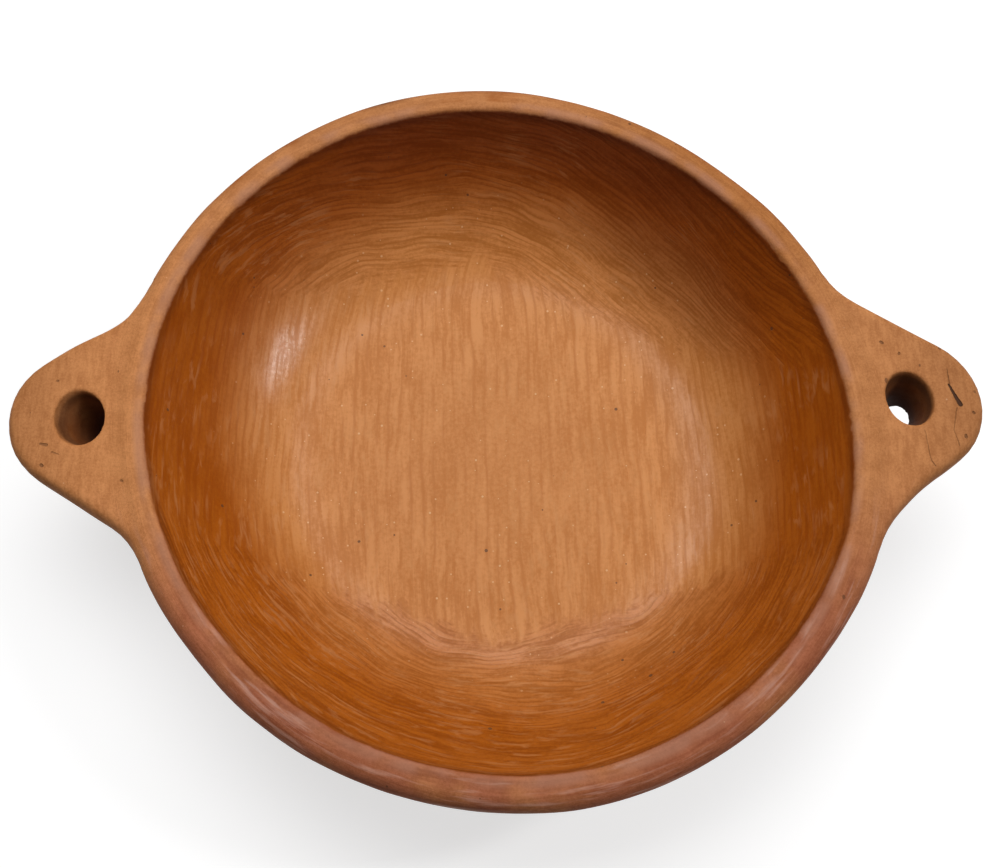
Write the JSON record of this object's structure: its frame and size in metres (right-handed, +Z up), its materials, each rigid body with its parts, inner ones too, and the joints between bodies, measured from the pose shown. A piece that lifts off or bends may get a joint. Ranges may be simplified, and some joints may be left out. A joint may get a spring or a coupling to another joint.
{
  "type": "tagine dish",
  "caption": "Open round terracotta cooking dish with a burnished slip inside, a thick bare rim and two pierced ear lugs.",
  "frame": {"origin": "centre of the flat underside that the dish stands on", "axes": "+Z up through the mouth, +X through the right lug, +Y away from the viewer of the picture"},
  "size_m": [0.3432, 0.2744, 0.062],
  "materials": {
    "burnished_slip": "burnished satin",
    "bare_clay": "matt, unglazed"
  },
  "bodies": {
    "root": {"floor_slab": "burnished_slip", "lower_wall_coil": "burnished_slip", "middle_wall_coil": "burnished_slip", "upper_wall_coil": "burnished_slip", "rim_coil": "bare_clay", "left_lug": "bare_clay", "right_lug": "bare_clay"}
  },
  "joints": []
}
